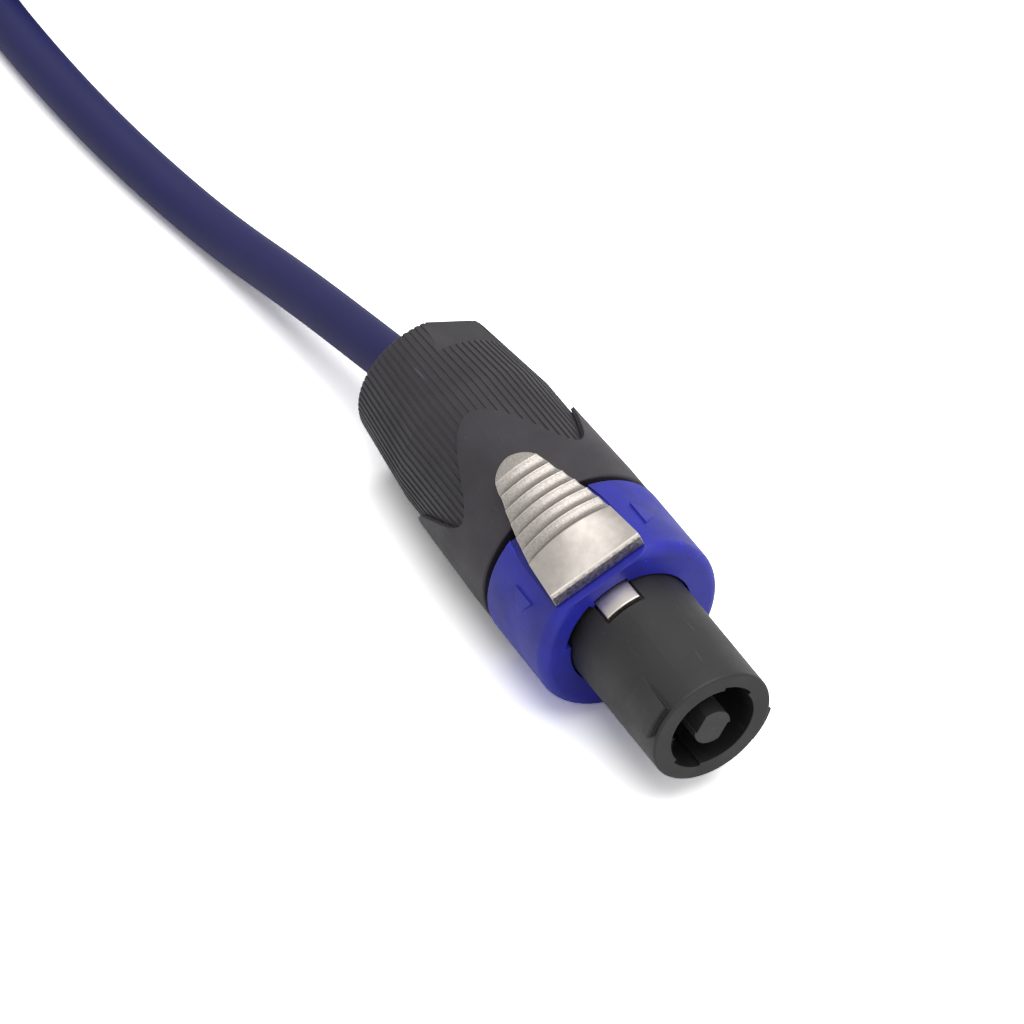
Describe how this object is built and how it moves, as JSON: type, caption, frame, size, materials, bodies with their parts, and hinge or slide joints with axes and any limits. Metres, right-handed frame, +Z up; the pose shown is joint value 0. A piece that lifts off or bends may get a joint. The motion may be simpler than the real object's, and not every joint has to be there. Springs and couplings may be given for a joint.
{
  "type": "loudspeaker cable",
  "caption": "Loudspeaker cable with a ribbed twist-lock connector on each end of a dark blue cord, a blue colour ring, a metal slide latch and a spare length tied in a hank.",
  "frame": {"origin": "on the floor under the middle of the near connector", "axes": "+X along the near connector's axis towards its nose, +Z up, +Y away from the side that its latch leans to"},
  "size_m": [0.3549, 0.0658, 0.0465],
  "materials": {
    "black_housing": "moulded glass-filled nylon, fine satin grain",
    "black_core": "moulded",
    "silver_contact": "silver-plated bronze",
    "brass_block": "nickel-free brass",
    "steel_screw": "zinc-plated",
    "blue_ring": "moulded, satin",
    "nickel_latch": "die-cast zinc, satin nickel plate",
    "spring_steel": "spring wire",
    "black_shell": "moulded, fine satin grain",
    "black_bushing": "moulded, ribbed",
    "white_chuck": "moulded acetal",
    "red_insulation": "PVC",
    "black_insulation": "PVC",
    "bare_copper": "stranded copper",
    "cord_jacket": "matte flexible PVC, dark blue",
    "strap_textile": "woven hook-and-loop tape"
  },
  "bodies": {
    "root": {"near_nose_housing": "black_housing", "near_contact_core": "black_core", "near_inner_contact_a": "silver_contact", "near_inner_contact_b": "silver_contact", "near_outer_contact_a": "silver_contact", "near_outer_contact_b": "silver_contact", "near_terminal_blocks": "brass_block", "near_terminal_screws": "steel_screw", "near_colour_ring": "blue_ring", "near_latch_spring": "spring_steel", "near_outer_shell": "black_shell", "near_wire_red": "red_insulation", "near_wire_black": "black_insulation", "near_copper_ends": "bare_copper", "near_cord_end": "cord_jacket", "far_nose_housing": "black_housing", "far_contact_core": "black_core", "far_inner_contact_a": "silver_contact", "far_inner_contact_b": "silver_contact", "far_outer_contact_a": "silver_contact", "far_outer_contact_b": "silver_contact", "far_terminal_blocks": "brass_block", "far_terminal_screws": "steel_screw", "far_colour_ring": "blue_ring", "far_latch_spring": "spring_steel", "far_outer_shell": "black_shell", "far_wire_red": "red_insulation", "far_wire_black": "black_insulation", "far_copper_ends": "bare_copper", "far_cord_end": "cord_jacket", "speaker_cord": "cord_jacket", "cord_hank": "cord_jacket", "hank_strap": "strap_textile"},
    "near_latch_body": {"near_latch": "nickel_latch"},
    "near_chuck_body": {"near_chuck": "white_chuck"},
    "near_bushing_body": {"near_bushing": "black_bushing"},
    "far_latch_body": {"far_latch": "nickel_latch"},
    "far_chuck_body": {"far_chuck": "white_chuck"},
    "far_bushing_body": {"far_bushing": "black_bushing"}
  },
  "joints": [
    {"name": "near_latch_slide", "type": "slide", "parent": "root", "child": "near_latch_body", "axis": [-1, 0, 0], "range_m": [0, 0.003], "stiffness_N_per_m": 400, "springref_m": -0.003, "deforming": ["near_latch_spring"]},
    {"name": "near_chuck_slide", "type": "slide", "parent": "root", "child": "near_chuck_body", "axis": [-1, 0, 0], "range_m": [0, 0.003]},
    {"name": "near_bushing_turn", "type": "hinge", "parent": "near_chuck_body", "child": "near_bushing_body", "pos_m": [-0.0229, 0, 0.01345], "axis": [-1, 0, 0], "range_deg": [0, 720]},
    {"name": "far_latch_slide", "type": "slide", "parent": "root", "child": "far_latch_body", "axis": [-1, 0, 0], "range_m": [0, 0.003], "stiffness_N_per_m": 400, "springref_m": -0.003, "deforming": ["far_latch_spring"]},
    {"name": "far_chuck_slide", "type": "slide", "parent": "root", "child": "far_chuck_body", "axis": [-1, 0, 0], "range_m": [0, 0.003]},
    {"name": "far_bushing_turn", "type": "hinge", "parent": "far_chuck_body", "child": "far_bushing_body", "pos_m": [-0.25223, 0.03205, 0.0313], "axis": [-1, 0, 0], "range_deg": [0, 720]}
  ],
  "couplings": [
    {"joint": "near_chuck_slide", "follows": "near_bushing_turn", "m_per_rad": 0.00023873},
    {"joint": "far_chuck_slide", "follows": "far_bushing_turn", "m_per_rad": 0.00023873}
  ]
}
